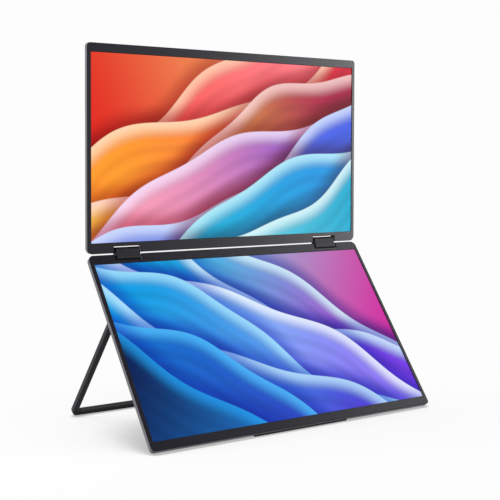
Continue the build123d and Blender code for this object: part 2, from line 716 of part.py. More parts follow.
# Hinges
for side, turned in (("right", lambda shape: shape), ("left", other_side)):
    nodes[side + "_hinge_cover"] = LINK * turned(hinge_cover())
    nodes[side + "_link_plates"] = LINK * turned(link_plates())
    nodes[side + "_lower_hinge_shaft"] = LINK * turned(hinge_shaft(-half))
    nodes[side + "_upper_hinge_shaft"] = LINK * turned(hinge_shaft(half))
for level, y in (("lower", -half), ("upper", half)):
    nut = shaft_nut(y)
    washer = friction_washer(y)
    springs = disc_springs(y)
    nodes[level + "_shaft_nuts"] = LINK * group([nut, other_side(nut)])
    nodes[level + "_friction_washers"] = LINK * group([washer, other_side(washer)])
    nodes[level + "_disc_springs"] = LINK * group(springs + [other_side(spring) for spring in springs])

# Electronics
nodes["rear_housing"] = LOWER * rear_housing()
nodes["housing_screws"] = LOWER * housing_screws()
nodes["main_board"] = LOWER * main_board()
nodes["board_screws"] = LOWER * board_screws()
nodes["shield_can"] = LOWER * shield_can()
nodes["usb_c_sockets"] = LOWER * group([socket(y, USB_W, USB_H, USB_DEPTH, USB_TONGUE) for y in USB_PLACES])
nodes["mini_hdmi_socket"] = LOWER * socket(HDMI_PLACE, HDMI_W, HDMI_H, HDMI_DEPTH, HDMI_TONGUE)
nodes["button_board"] = LOWER * button_board()
nodes["tact_switches"] = LOWER * tact_switches()
for name, (y, length) in BUTTONS.items():
    nodes[name] = LOWER * button(y, length)

# Stand and foot
nodes["stand_frame"], nodes["stand_grip"] = stand_pieces()
pin = stand_pin()
ring = stand_washer()
nodes["stand_pivot_pins"] = LOWER * group([pin, other_side(pin)])
nodes["stand_washers"] = LOWER * group([ring, other_side(ring)])
nodes["front_foot"] = front_foot()

for name, shape in nodes.items():
    export_step(shape, f"parts/{name}.step")

print("lower axis", round(axis_y, 3), round(axis_z, 3))
print("upper axis", round(upper_y, 3), round(upper_z, 3))
print("stand pivot", round(pivot_y, 3), round(pivot_z, 3), "lean", round(degrees(stand_lean), 3))
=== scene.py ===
"""Dresses the folding monitor: a finish for every piece, lit pictures, and a white studio around it."""

import json
import math
from collections import namedtuple

import bmesh
import bpy
from mathutils import Euler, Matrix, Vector

bl_info = {
    "name": "Dual Portable Monitor",
    "version": (1, 0, 0),
    "blender": (4, 5, 0),
    "location": "View3D > Sidebar > Monitor",
    "description": "Finishes and stage of a folding monitor with two screens on a kickstand",
    "category": "Object",
}

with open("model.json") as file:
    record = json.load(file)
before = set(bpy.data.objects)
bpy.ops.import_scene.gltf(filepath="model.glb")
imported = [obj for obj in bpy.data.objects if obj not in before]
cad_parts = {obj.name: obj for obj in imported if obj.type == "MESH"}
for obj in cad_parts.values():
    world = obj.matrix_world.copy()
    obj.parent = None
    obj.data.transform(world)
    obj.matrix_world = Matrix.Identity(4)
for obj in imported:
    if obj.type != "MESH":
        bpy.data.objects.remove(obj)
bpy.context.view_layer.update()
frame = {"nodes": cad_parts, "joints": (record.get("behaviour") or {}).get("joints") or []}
NODES = frame["nodes"]
MM = 0.001
LEVELS = ("lower", "upper")
SIDES = ("left", "right")

# Places of a mix node's sockets when it mixes colours
MIX_SHARE, MIX_A, MIX_B, MIX_OUT = 0, 6, 7, 2


def linear(code):
    """Linear red, green and blue of an sRGB hex colour."""
    shares = [int(code[start:start + 2], 16) / 255 for start in (1, 3, 5)]
    return tuple(s / 12.92 if s <= 0.04045 else ((s + 0.055) / 1.055) ** 2.4 for s in shares)


def toned(base, factor=1.0):
    """A linear colour made lighter or darker, with an alpha of one, for a node's colour socket."""
    return (*(min(1.0, share * factor) for share in base), 1.0)


def colour(code):
    """An sRGB hex colour for a node's colour socket."""
    return toned(linear(code))


def length_property(name, description, default_mm):
    """A length in metres that is written here in millimetres."""
    return bpy.props.FloatProperty(
        name=name, description=description, default=default_mm * MM, min=0.0, subtype="DISTANCE",
        unit="LENGTH", precision=5,
    )


def colour_property(name, description, code):
    """A colour that is written here as an sRGB hex value."""
    return bpy.props.FloatVectorProperty(
        name=name, description=description, default=linear(code), size=3, min=0.0, max=1.0, subtype="COLOR",
    )


def power_property(name, description, watts):
    """The power of a lamp."""
    return bpy.props.FloatProperty(name=name, description=description, default=watts, min=0.0, unit="POWER")


class MonitorShellSettings(bpy.types.PropertyGroup):
    """Finishes of the parts that show from outside."""

    bezel_colour: colour_property("Bezel", "Charcoal of the moulded front frames", "#161421")
    cover_colour: colour_property("Rear cover", "Grey of the anodised rear covers", "#838187")
    hinge_colour: colour_property("Hinge cover", "Charcoal of the hinge blocks", "#0e0d17")
    housing_colour: colour_property("Housing", "Charcoal of the rear housing and its buttons", "#2a2830")
    stand_colour: colour_property("Kickstand", "Charcoal of the stand's powder coat", "#474549")
    rubber_colour: colour_property("Rubber", "Near black of the foot and the grip", "#1c1b1e")

    # The real dimples of the moulded and the blasted texture are about 0.1 mm wide. That is too fine to
    # show, so they are drawn coarser here.
    texture_grain: length_property("Mould texture", "Width of one dimple of the moulded texture", 0.6)
    blast_grain: length_property("Blast texture", "Width of one dimple of the blasted metal", 0.35)
    coat_grain: length_property("Coat texture", "Width of one bump of the powder coat", 0.7)


class MonitorPictureSettings(bpy.types.PropertyGroup):
    """The generic picture that the screens show."""

    width: length_property("Picture width", "Width of the lit area", 344.16)
    brightness: bpy.props.FloatProperty(
        name="Brightness", description="Strength of the lit picture, where 1 gives the colours as written",
        default=1.0, min=0.0, max=4.0, subtype="FACTOR",
    )
    edge: length_property("Ridge edge", "Softness of the edge of each ridge in the picture", 0.7)


class MonitorStageSettings(bpy.types.PropertyGroup):
    """Camera, floor and lamps."""

    lens: bpy.props.FloatProperty(
        name="Lens", description="Focal length of the camera", default=78.62, min=1.0,
        subtype="DISTANCE_CAMERA", unit="CAMERA",
    )
    shift: bpy.props.FloatProperty(
        name="Shift", description="Vertical shift of the camera, as a share of the picture", default=-0.11,
    )
    camera_place: bpy.props.FloatVectorProperty(
        name="Camera place", description="Where the camera stands", default=(-0.6797, -0.8662, 0.2741), size=3,
        subtype="TRANSLATION", unit="LENGTH",
    )
    camera_turn: bpy.props.FloatVectorProperty(
        name="Camera turn", description="Turn of the camera about X, Y and Z", size=3, subtype="EULER",
        unit="ROTATION", default=(math.radians(88.045), math.radians(-0.16), math.radians(-35.389)),
    )
    floor_colour: colour_property("Floor", "Near white of the floor", "#fafafa")
    bounce_colour: colour_property("Floor bounce", "Grey of the light that the floor throws up", "#6e6e6e")
    key_power: power_property("Key lamp", "Power of the soft lamp at the front right", 6.0)
    glare_power: power_property("Glare lamp", "Power of the lamp mirrored on the right of the bezels", 60.0)
    fill_power: power_property("Fill lamp", "Power of the soft lamp at the back left", 9.0)
    strip_power: power_property("Strip lamp", "Power of the lamp mirrored on the lower bezel's top edge", 10.5)
    world_light: bpy.props.FloatProperty(
        name="Room light", description="Strength of the even light from all sides", default=0.85,
        min=0.0, max=1.0, subtype="FACTOR",
    )


def add_node(tree, kind, settings=None, inputs=None):
    """Adds a node, sets its properties, and gives each named input a value or a link from a socket."""
    node = tree.nodes.new(kind)
    for name, value in (settings or {}).items():
        setattr(node, name, value)
    for name, value in (inputs or {}).items():
        if isinstance(value, bpy.types.NodeSocket):
            tree.links.new(value, node.inputs[name])
        else:
            node.inputs[name].default_value = value
    return node


def new_material(name):
    """An empty node material and its tree."""
    material = bpy.data.materials.new(name)
    material.use_nodes = True
    material.node_tree.nodes.clear()
    return material, material.node_tree


def finish_material(tree, **inputs):
    """Ends a material in one principled shader with these inputs; underscores stand for spaces."""
    names = {name.replace("_", " "): value for name, value in inputs.items()}
    shader = add_node(tree, "ShaderNodeBsdfPrincipled", inputs=names)
    add_node(tree, "ShaderNodeOutputMaterial", inputs={"Surface": shader.outputs["BSDF"]})


def paint(material, names):
    """Puts a material on whole nodes of the frame."""
    for name in names:
        slots = NODES[name].data.materials
        slots.clear()
        slots.append(material)


def on_levels(*names):
    """The nodes of these names on both screens."""
    return [f"{level}_{name}" for level in LEVELS for name in names]


def on_sides(*names):
    """The nodes of these names on both hinges."""
    return [f"{side}_{name}" for side in SIDES for name in names]


def seen_rays(tree):
    """One for the rays of the camera, of reflections and of clear parts, and nothing for the rest."""
    rays = add_node(tree, "ShaderNodeLightPath").outputs
    mirrored = add_node(
        tree, "ShaderNodeMath", {"operation": "MAXIMUM"}, {0: rays["Is Camera Ray"], 1: rays["Is Glossy Ray"]},
    ).outputs["Value"]
    return add_node(
        tree, "ShaderNodeMath", {"operation": "MAXIMUM"}, {0: mirrored, 1: rays["Is Transmission Ray"]},
    ).outputs["Value"]


# Widths of the broad, faint patterns in the finishes, and of the rubber's speckle
FLOW_WIDTH = 45 * MM
CLOUD_WIDTH = 60 * MM
PATCH_WIDTH = 30 * MM
SPECKLE_WIDTH = 0.5 * MM

# How far the roughness of a moulded plastic and of a turned metal wanders to either side
PLASTIC_SPREAD = 0.06
METAL_SPREAD = 0.07

# Stretch along X, Y and Z that draws a noise out into lines across the hinge
LINE_STRETCH = (1.0, 0.05, 0.05)


def moulded_plastic(name, base, grain, roughness=0.36):
    """Textured ABS, moulded against a spark-eroded tool: an even matte charcoal with a faint sparkle of
    dimples close up, and broad, barely visible flow marks."""
    material, tree = new_material(name)
    place = add_node(tree, "ShaderNodeTexCoord").outputs["Object"]
    dimples = add_node(
        tree, "ShaderNodeTexNoise",
        inputs={"Vector": place, "Scale": 1 / grain, "Detail": 3.0, "Roughness": 0.6},
    ).outputs["Fac"]
    flow = add_node(
        tree, "ShaderNodeTexNoise", inputs={"Vector": place, "Scale": 1 / FLOW_WIDTH, "Detail": 1.0},
    ).outputs["Fac"]
    tint = add_node(
        tree, "ShaderNodeMix", {"data_type": "RGBA"},
        {MIX_SHARE: flow, MIX_A: toned(base, 0.86), MIX_B: toned(base, 1.16)},
    ).outputs[MIX_OUT]
    gloss = add_node(
        tree, "ShaderNodeMapRange",
        inputs={"Value": dimples, "To Min": roughness - PLASTIC_SPREAD, "To Max": roughness + PLASTIC_SPREAD},
    ).outputs["Result"]
    bump = add_node(
        tree, "ShaderNodeBump", inputs={"Height": dimples, "Strength": 0.12, "Distance": 0.05 * MM},
    ).outputs["Normal"]
    finish_material(
        tree, Base_Color=tint, Roughness=gloss, IOR=1.5, Specular_IOR_Level=0.16, Normal=bump,
    )
    return material


def blasted_aluminium(name, base, grain):
    """Anodised aluminium, blasted with fine beads: a satin grey that brightens softly where it turns to the
    light, with a very fine tooth."""
    material, tree = new_material(name)
    place = add_node(tree, "ShaderNodeTexCoord").outputs["Object"]
    tooth = add_node(
        tree, "ShaderNodeTexNoise", inputs={"Vector": place, "Scale": 1 / grain, "Detail": 2.0},
    ).outputs["Fac"]
    cloud = add_node(
        tree, "ShaderNodeTexNoise", inputs={"Vector": place, "Scale": 1 / CLOUD_WIDTH, "Detail": 2.0},
    ).outputs["Fac"]
    tint = add_node(
        tree, "ShaderNodeMix", {"data_type": "RGBA"},
        {MIX_SHARE: cloud, MIX_A: toned(base, 0.92), MIX_B: toned(base)},
    ).outputs[MIX_OUT]
    gloss = add_node(
        tree, "ShaderNodeMapRange", inputs={"Value": tooth, "To Min": 0.48, "To Max": 0.60},
    ).outputs["Result"]
    bump = add_node(
        tree, "ShaderNodeBump", inputs={"Height": tooth, "Strength": 0.08, "Distance": 0.03 * MM},
    ).outputs["Normal"]
    finish_material(tree, Base_Color=tint, Metallic=0.40, Roughness=gloss, Normal=bump)
    return material


def powder_coat(name, base, grain):
    """Polyester powder coat, baked on metal: matte charcoal with a low orange-peel ripple."""
    material, tree = new_material(name)
    place = add_node(tree, "ShaderNodeTexCoord").outputs["Object"]
    peel = add_node(
        tree, "ShaderNodeTexNoise", inputs={"Vector": place, "Scale": 1 / grain, "Detail": 1.5},
    ).outputs["Fac"]
    patch = add_node(
        tree, "ShaderNodeTexNoise", inputs={"Vector": place, "Scale": 1 / PATCH_WIDTH, "Detail": 1.0},
    ).outputs["Fac"]
    tint = add_node(
        tree, "ShaderNodeMix", {"data_type": "RGBA"},
        {MIX_SHARE: patch, MIX_A: toned(base), MIX_B: toned(base, 1.12)},
    ).outputs[MIX_OUT]
    gloss = add_node(
        tree, "ShaderNodeMapRange", inputs={"Value": peel, "To Min": 0.50, "To Max": 0.62},
    ).outputs["Result"]
    bump = add_node(
        tree, "ShaderNodeBump", inputs={"Height": peel, "Strength": 0.10, "Distance": 0.06 * MM},
    ).outputs["Normal"]
    finish_material(
        tree, Base_Color=tint, Roughness=gloss, IOR=1.5, Specular_IOR_Level=0.08, Normal=bump,
    )
    return material


def matte_rubber(name, base):
    """Silicone rubber, moulded: near black, dull, with fine dust-like speckle."""
    material, tree = new_material(name)
    place = add_node(tree, "ShaderNodeTexCoord").outputs["Object"]
    speckle = add_node(
        tree, "ShaderNodeTexNoise", inputs={"Vector": place, "Scale": 1 / SPECKLE_WIDTH, "Detail": 3.0},
    ).outputs["Fac"]
    tint = add_node(
        tree, "ShaderNodeMix", {"data_type": "RGBA"},
        {MIX_SHARE: speckle, MIX_A: toned(base), MIX_B: toned(base, 1.5)},
    ).outputs[MIX_OUT]
    bump = add_node(
        tree, "ShaderNodeBump", inputs={"Height": speckle, "Strength": 0.15, "Distance": 0.05 * MM},
    ).outputs["Normal"]
    finish_material(
        tree, Base_Color=tint, Roughness=0.82, IOR=1.42, Specular_IOR_Level=0.3, Normal=bump,
    )
    return material


def turned_metal(name, code, roughness, pitch_mm):
    """Bare metal, turned or drawn along the hinge: fine lines across it that spread the highlights."""
    material, tree = new_material(name)
    base = linear(code)
    place = add_node(tree, "ShaderNodeTexCoord").outputs["Object"]
    stretched = add_node(
        tree, "ShaderNodeVectorMath", {"operation": "MULTIPLY"}, {0: place, 1: LINE_STRETCH},
    ).outputs["Vector"]
    lines = add_node(
        tree, "ShaderNodeTexNoise", inputs={"Vector": stretched, "Scale": 1 / (pitch_mm * MM), "Detail": 2.0},
    ).outputs["Fac"]
    tint = add_node(
        tree, "ShaderNodeMix", {"data_type": "RGBA"},
        {MIX_SHARE: lines, MIX_A: toned(base, 0.8), MIX_B: toned(base)},
    ).outputs[MIX_OUT]
    gloss = add_node(
        tree, "ShaderNodeMapRange",
        inputs={"Value": lines, "To Min": roughness - METAL_SPREAD, "To Max": roughness + METAL_SPREAD},
    ).outputs["Result"]
    bump = add_node(
        tree, "ShaderNodeBump", inputs={"Height": lines, "Strength": 0.08, "Distance": 0.02 * MM},
    ).outputs["Normal"]
    finish_material(tree, Base_Color=tint, Metallic=1.0, Roughness=gloss, Normal=bump)
    return material


def board_laminate(name):
    """Glass-fibre board under green solder mask: satin green with the faint lines of copper tracks."""
    material, tree = new_material(name)
    place = add_node(tree, "ShaderNodeTexCoord").outputs["Object"]
    tracks = add_node(
        tree, "ShaderNodeTexBrick", {"offset": 0.5, "squash": 1.0},
        {
            "Vector": place, "Scale": 1.0, "Color1": colour("#0f5a33"), "Color2": colour("#13663a"),
            "Mortar": colour("#1d7a49"), "Mortar Size": 0.15 * MM, "Mortar Smooth": 0.2, "Bias": 0.0,
            "Brick Width": 6 * MM, "Row Height": 1.2 * MM,
        },
    ).outputs
    bump = add_node(
        tree, "ShaderNodeBump", inputs={"Height": tracks["Fac"], "Strength": 0.2, "Distance": 0.04 * MM},
    ).outputs["Normal"]
    finish_material(tree, Base_Color=tracks["Color"], Roughness=0.4, IOR=1.5, Normal=bump)
    return material


def plain_polymer(name, code, roughness, grain_mm, transmission=0.0):
    """Clear or white sheet polymer, extruded or moulded: even, with a slight print of its rollers."""
    material, tree = new_material(name)
    base = linear(code)
    place = add_node(tree, "ShaderNodeTexCoord").outputs["Object"]
    marks = add_node(
        tree, "ShaderNodeTexVoronoi", {"feature": "F1"}, {"Vector": place, "Scale": 1 / (grain_mm * MM)},
    ).outputs["Distance"]
    tint = add_node(
        tree, "ShaderNodeMix", {"data_type": "RGBA"},
        {MIX_SHARE: marks, MIX_A: toned(base), MIX_B: toned(base, 0.93)},
    ).outputs[MIX_OUT]
    bump = add_node(
        tree, "ShaderNodeBump", inputs={"Height": marks, "Strength": 0.05, "Distance": 0.02 * MM},
    ).outputs["Normal"]
    finish_material(
        tree, Base_Color=tint, Roughness=roughness, IOR=1.49, Transmission_Weight=transmission, Normal=bump,
    )
    return material


# One ridge of a picture: its height, slow swell and fast swell as shares of the picture's width, the swells'
# waves per width and their starts in turns, then its colours at the left, at the right and on the crest
Ridge = namedtuple("Ridge", "height slow slow_waves slow_start fast fast_waves fast_start left right crest")

# A picture is rows of soft ridges, drawn from the back to the front in a frame turned by "turn" degrees.
# The back runs from its left colour to its right one, and the shade tints what lies just behind a ridge.
PICTURES = {
    "upper": {
        "turn": 24.0,
        "back": ("#e3261c", "#ffb46e"),
        "shade": "#b0365a",
        "ridges": (
            Ridge(0.225, 0.050, 0.9, 0.10, 0.012, 2.6, 0.30, "#f0452a", "#ff7d86", "#ffd9b8"),
            Ridge(0.145, 0.060, 0.8, 0.55, 0.014, 2.1, 0.00, "#ff9a2b", "#ee2c4a", "#ffe6c4"),
            Ridge(0.060, 0.055, 1.0, 0.05, 0.010, 2.9, 0.60, "#ffc64d", "#a80f45", "#ffd9d6"),
            Ridge(-0.020, 0.060, 0.7, 0.35, 0.012, 2.3, 0.15, "#f59ab4", "#6e3ac0", "#f6e6ff"),
            Ridge(-0.100, 0.050, 0.9, 0.80, 0.012, 2.5, 0.45, "#7f92ec", "#3f5ce0", "#dbe8ff"),
            Ridge(-0.175, 0.050, 0.8, 0.20, 0.014, 2.2, 0.75, "#22b6d6", "#1690df", "#c4f7ff"),
            Ridge(-0.255, 0.045, 1.0, 0.60, 0.010, 2.7, 0.05, "#7be0ec", "#0aa6cc", "#eaffff"),
        ),
    },
    "lower": {
        "turn": -33.0,
        "back": ("#56c8ea", "#d0259f"),
        "shade": "#3a5ad0",
        "ridges": (
            Ridge(0.230, 0.045, 0.8, 0.30, 0.012, 2.4, 0.10, "#08b9e0", "#a321c4", "#dcf9ff"),
            Ridge(0.150, 0.055, 0.9, 0.75, 0.012, 2.7, 0.40, "#00a4dc", "#6f35dc", "#d4f3ff"),
            Ridge(0.070, 0.055, 0.7, 0.15, 0.014, 2.2, 0.70, "#6fcaf6", "#8a72ee", "#f4fbff"),
            Ridge(-0.010, 0.060, 1.0, 0.50, 0.010, 2.8, 0.20, "#0a9be0", "#6f86ea", "#a9e7ff"),
            Ridge(-0.095, 0.055, 0.8, 0.95, 0.012, 2.3, 0.50, "#12b2ee", "#4a30cf", "#bfe9ff"),
            Ridge(-0.180, 0.050, 0.9, 0.40, 0.012, 2.6, 0.85, "#0a6cc8", "#2c1fb8", "#4fc0ff"),
            Ridge(-0.265, 0.045, 0.7, 0.70, 0.014, 2.1, 0.25, "#03184e", "#1f84e0", "#1f9cf0"),
        ),
    },
}

# Lean from upright of each screen as stored, in degrees
LEANS = {"lower": 37.0, "upper": 0.0}

# Distance from a screen's hinge axis to the middle of its picture
AXIS_TO_PICTURE = 105.5 * MM

# Joint whose axis is each screen's hinge axis, and whether the picture lies above it or below
HINGE_AXES = {"lower": ("link_fold", -1), "upper": ("screen_fold", 1)}

# Where the blend from a left colour to a right one ends on either side of the middle, in picture widths
BLEND_REACH = 0.48

# How far a ridge's light crest and the shade that it throws on the ridge behind reach, in picture widths
CREST_REACH = 0.06
CREST_LIGHT = 0.75
SHADE_REACH = 0.07
SHADE_DEPTH = 0.65

# Width of one fold of the silk-like streaks along a ridge, in picture widths, and how much they lighten it
FOLD_WIDTH = 0.05
FOLD_LIGHT = 0.07


def ridge_depth(tree, ridge, run, climb):
    """How far below the ridge's wavy top line a point lies, in picture widths."""
    line = ridge.height
    swells = (
        (ridge.slow, ridge.slow_waves, ridge.slow_start),
        (ridge.fast, ridge.fast_waves, ridge.fast_start),
    )
    for swell, waves, start in swells:
        phase = add_node(
            tree, "ShaderNodeMath", {"operation": "MULTIPLY_ADD"},
            {0: run, 1: math.tau * waves, 2: math.tau * start},
        ).outputs["Value"]
        wave = add_node(tree, "ShaderNodeMath", {"operation": "SINE"}, {0: phase}).outputs["Value"]
        line = add_node(
            tree, "ShaderNodeMath", {"operation": "MULTIPLY_ADD"}, {0: wave, 1: swell, 2: line},
        ).outputs["Value"]
    return add_node(tree, "ShaderNodeMath", {"operation": "SUBTRACT"}, {0: line, 1: climb}).outputs["Value"]


def ridge_colour(tree, ridge, depth, reach):
    """Colour of the ridge itself: a blend from left to right, silk-like streaks and a light crest."""
    body = add_node(
        tree, "ShaderNodeMix", {"data_type": "RGBA"},
        {MIX_SHARE: reach, MIX_A: colour(ridge.left), MIX_B: colour(ridge.right)},
    ).outputs[MIX_OUT]
    turns = add_node(
        tree, "ShaderNodeMath", {"operation": "MULTIPLY"}, {0: depth, 1: math.tau / FOLD_WIDTH},
    ).outputs["Value"]
    fold = add_node(tree, "ShaderNodeMath", {"operation": "SINE"}, {0: turns}).outputs["Value"]
    streak = add_node(
        tree, "ShaderNodeMath", {"operation": "MULTIPLY_ADD"}, {0: fold, 1: FOLD_LIGHT, 2: 1.0},
    ).outputs["Value"]
    streaked = add_node(
        tree, "ShaderNodeVectorMath", {"operation": "SCALE"}, {0: body, "Scale": streak},
    ).outputs["Vector"]
    glow = add_node(
        tree, "ShaderNodeMapRange", {"interpolation_type": "SMOOTHSTEP"},
        {"Value": depth, "From Min": 0.0, "From Max": CREST_REACH, "To Min": CREST_LIGHT, "To Max": 0.0},
    ).outputs["Result"]
    return add_node(
        tree, "ShaderNodeMix", {"data_type": "RGBA"},
        {MIX_SHARE: glow, MIX_A: streaked, MIX_B: colour(ridge.crest)},
    ).outputs[MIX_OUT]


def screen_picture(level, settings):
    """Liquid crystal display, lit from behind, with an anti-glare film: even glowing colour, a dull front."""
    material, tree = new_material(f"lit_display_{level}")
    design = PICTURES[level]
    joint, side = HINGE_AXES[level]
    axis = Vector(next(j["pos_m"] for j in frame["joints"] if j["name"] == joint))
    lean = math.radians(LEANS[level])
    turn = math.radians(design["turn"])
    wide = Vector((1.0, 0.0, 0.0))
    up = Vector((0.0, math.sin(lean), math.cos(lean)))
    middle = axis + up * (side * AXIS_TO_PICTURE)
    along = (wide * math.cos(turn) + up * math.sin(turn)) / settings.width
    across = (up * math.cos(turn) - wide * math.sin(turn)) / settings.width

    place = add_node(tree, "ShaderNodeTexCoord").outputs["Object"]
    offset = add_node(
        tree, "ShaderNodeVectorMath", {"operation": "SUBTRACT"}, {0: place, 1: middle},
    ).outputs["Vector"]
    run = add_node(
        tree, "ShaderNodeVectorMath", {"operation": "DOT_PRODUCT"}, {0: offset, 1: along},
    ).outputs["Value"]
    climb = add_node(
        tree, "ShaderNodeVectorMath", {"operation": "DOT_PRODUCT"}, {0: offset, 1: across},
    ).outputs["Value"]
    reach = add_node(
        tree, "ShaderNodeMapRange", {"interpolation_type": "SMOOTHSTEP"},
        {"Value": run, "From Min": -BLEND_REACH, "From Max": BLEND_REACH},
    ).outputs["Result"]
    left, right = design["back"]
    picture = add_node(
        tree, "ShaderNodeMix", {"data_type": "RGBA"},
        {MIX_SHARE: reach, MIX_A: colour(left), MIX_B: colour(right)},
    ).outputs[MIX_OUT]
    edge = settings.edge / settings.width
    for ridge in design["ridges"]:
        depth = ridge_depth(tree, ridge, run, climb)
        shade = add_node(
            tree, "ShaderNodeMapRange", {"interpolation_type": "SMOOTHSTEP"},
            {"Value": depth, "From Min": -SHADE_REACH, "From Max": 0.0, "To Min": 0.0, "To Max": SHADE_DEPTH},
        ).outputs["Result"]
        behind = add_node(
            tree, "ShaderNodeMix", {"data_type": "RGBA", "blend_type": "MULTIPLY"},
            {MIX_SHARE: shade, MIX_A: picture, MIX_B: colour(design["shade"])},
        ).outputs[MIX_OUT]
        inside = add_node(
            tree, "ShaderNodeMapRange", {"interpolation_type": "SMOOTHSTEP"},
            {"Value": depth, "From Min": -edge, "From Max": edge},
        ).outputs["Result"]
        picture = add_node(
            tree, "ShaderNodeMix", {"data_type": "RGBA"},
            {MIX_SHARE: inside, MIX_A: behind, MIX_B: ridge_colour(tree, ridge, depth, reach)},
        ).outputs[MIX_OUT]
    finish_material(
        tree, Base_Color=colour("#050506"), Roughness=0.42, IOR=1.5, Specular_IOR_Level=0.03,
        Emission_Color=picture, Emission_Strength=settings.brightness,
    )
    return material


class MONITOR_OT_bezels(bpy.types.Operator):
    """Finish the front frames of both screens"""

    bl_idname = "monitor.bezels"
    bl_label = "Front bezels"

    def execute(self, context):
        shell = context.scene.monitor_shell
        plastic = moulded_plastic("textured_abs_bezel", shell.bezel_colour, shell.texture_grain)
        paint(plastic, on_levels("front_bezel"))
        return {"FINISHED"}


class MONITOR_OT_pictures(bpy.types.Operator):
    """Light the displays with the generic picture"""

    bl_idname = "monitor.pictures"
    bl_label = "Screen pictures"

    def execute(self, context):
        for level in LEVELS:
            paint(screen_picture(level, context.scene.monitor_picture), [f"{level}_lcd_cell"])
        return {"FINISHED"}


class MONITOR_OT_rear_covers(bpy.types.Operator):
    """Finish the metal rear covers of both screens"""

    bl_idname = "monitor.rear_covers"
    bl_label = "Rear covers"

    def execute(self, context):
        shell = context.scene.monitor_shell
        metal = blasted_aluminium("anodised_aluminium_cover", shell.cover_colour, shell.blast_grain)
        paint(metal, on_levels("rear_cover"))
        return {"FINISHED"}


class MONITOR_OT_hinges(bpy.types.Operator):
    """Finish the hinge blocks and everything that turns in them"""

    bl_idname = "monitor.hinges"
    bl_label = "Hinges"

    def execute(self, context):
        shell = context.scene.monitor_shell
        plastic = moulded_plastic("textured_abs_hinge", shell.hinge_colour, shell.texture_grain, roughness=0.55)
        black = turned_metal("black_oxide_hinge_steel", "#2c2c2f", roughness=0.42, pitch_mm=0.4)
        steel = turned_metal("turned_steel", "#a3a3a6", roughness=0.35, pitch_mm=0.4)
        bronze = turned_metal("sintered_bronze", "#a9793f", roughness=0.45, pitch_mm=0.3)
        paint(plastic, on_sides("hinge_cover"))
        paint(black, on_sides("link_plates", *on_levels("hinge_bracket", "hinge_shaft")))
        paint(steel, on_levels("shaft_nuts", "disc_springs"))
        paint(bronze, on_levels("friction_washers"))
        return {"FINISHED"}


class MONITOR_OT_backlights(bpy.types.Operator):
    """Finish the sheets, strips, tape and trays behind the displays"""

    bl_idname = "monitor.backlights"
    bl_label = "Backlights"

    def execute(self, context):
        film = plain_polymer("pet_diffuser_film", "#f4f4f2", roughness=0.7, grain_mm=0.3)
        acrylic = plain_polymer(
            "acrylic_light_guide", "#f5f8f8", roughness=0.15, grain_mm=1.2, transmission=0.8,
        )
        phosphor = plain_polymer("phosphor_led_strip", "#f0d877", roughness=0.5, grain_mm=3.5)
        foam = plain_polymer("pe_foam_tape", "#1a1a1b", roughness=0.9, grain_mm=0.4)
        steel = turned_metal("plated_sheet_steel", "#c4c5c8", roughness=0.4, pitch_mm=0.8)
        paint(film, on_levels("diffuser_sheet"))
        paint(acrylic, on_levels("light_guide"))
        paint(phosphor, on_levels("led_strip"))
        paint(foam, on_levels("mount_tape"))
        paint(steel, on_levels("backlight_tray"))
        return {"FINISHED"}


class MONITOR_OT_electronics(bpy.types.Operator):
    """Finish the rear housing, the boards, the sockets and the screws"""

    bl_idname = "monitor.electronics"
    bl_label = "Electronics"

    def execute(self, context):
        shell = context.scene.monitor_shell
        plastic = moulded_plastic("textured_abs_housing", shell.housing_colour, shell.texture_grain)
        laminate = board_laminate("fr4_solder_mask")
        tinned = turned_metal("tinned_steel_shield", "#cfd0d2", roughness=0.3, pitch_mm=0.8)
        nickel = turned_metal("nickel_socket_shell", "#b9b9bb", roughness=0.28, pitch_mm=0.3)
        black = turned_metal("black_oxide_steel", "#4a4a4d", roughness=0.4, pitch_mm=0.3)
        nylon = plain_polymer("nylon_switch_body", "#3a3a3c", roughness=0.5, grain_mm=0.6)
        paint(plastic, ["rear_housing"])
        paint(laminate, [*on_levels("driver_board"), "main_board", "button_board"])
        paint(tinned, ["shield_can"])
        paint(nickel, ["usb_c_sockets", "mini_hdmi_socket"])
        paint(black, [*on_levels("bracket_screws"), "housing_screws", "board_screws"])
        paint(nylon, ["tact_switches"])
        return {"FINISHED"}


class MONITOR_OT_buttons(bpy.types.Operator):
    """Finish the power and menu buttons"""

    bl_idname = "monitor.buttons"
    bl_label = "Buttons"

    def execute(self, context):
        shell = context.scene.monitor_shell
        plastic = moulded_plastic("textured_abs_button", shell.housing_colour, shell.texture_grain)
        paint(plastic, ["power_button", "menu_up_button", "menu_down_button"])
        return {"FINISHED"}


class MONITOR_OT_kickstand(bpy.types.Operator):
    """Finish the kickstand, its pins and washers, and the rubber feet"""

    bl_idname = "monitor.kickstand"
    bl_label = "Kickstand and feet"

    def execute(self, context):
        shell = context.scene.monitor_shell
        coat = powder_coat("powder_coated_stand", shell.stand_colour, shell.coat_grain)
        rubber = matte_rubber("silicone_rubber", shell.rubber_colour)
        stainless = turned_metal("stainless_pin", "#8d8d90", roughness=0.35, pitch_mm=0.3)
        bronze = turned_metal("bronze_washer", "#a9793f", roughness=0.45, pitch_mm=0.3)
        paint(coat, ["stand_frame"])
        paint(rubber, ["stand_grip", "front_foot"])
        paint(stainless, ["stand_pivot_pins"])
        paint(bronze, ["stand_washers"])
        return {"FINISHED"}


# White of the room and of the floor far out, as the camera sees them
ROOM_WHITE = "#fdfdfd"

# The floor is a disc just under the resting faces. Its share of plain white grows with the distance from
# the middle, from the near share to one, so that a faint shadow stays under the part.
FLOOR_RADIUS = 6.0
FLOOR_SEGMENTS = 96
FLOOR_DROP = 0.2 * MM
FLOOR_NEAR = 0.12
FLOOR_FAR = 0.60
FLOOR_NEAR_WHITE = 0.80

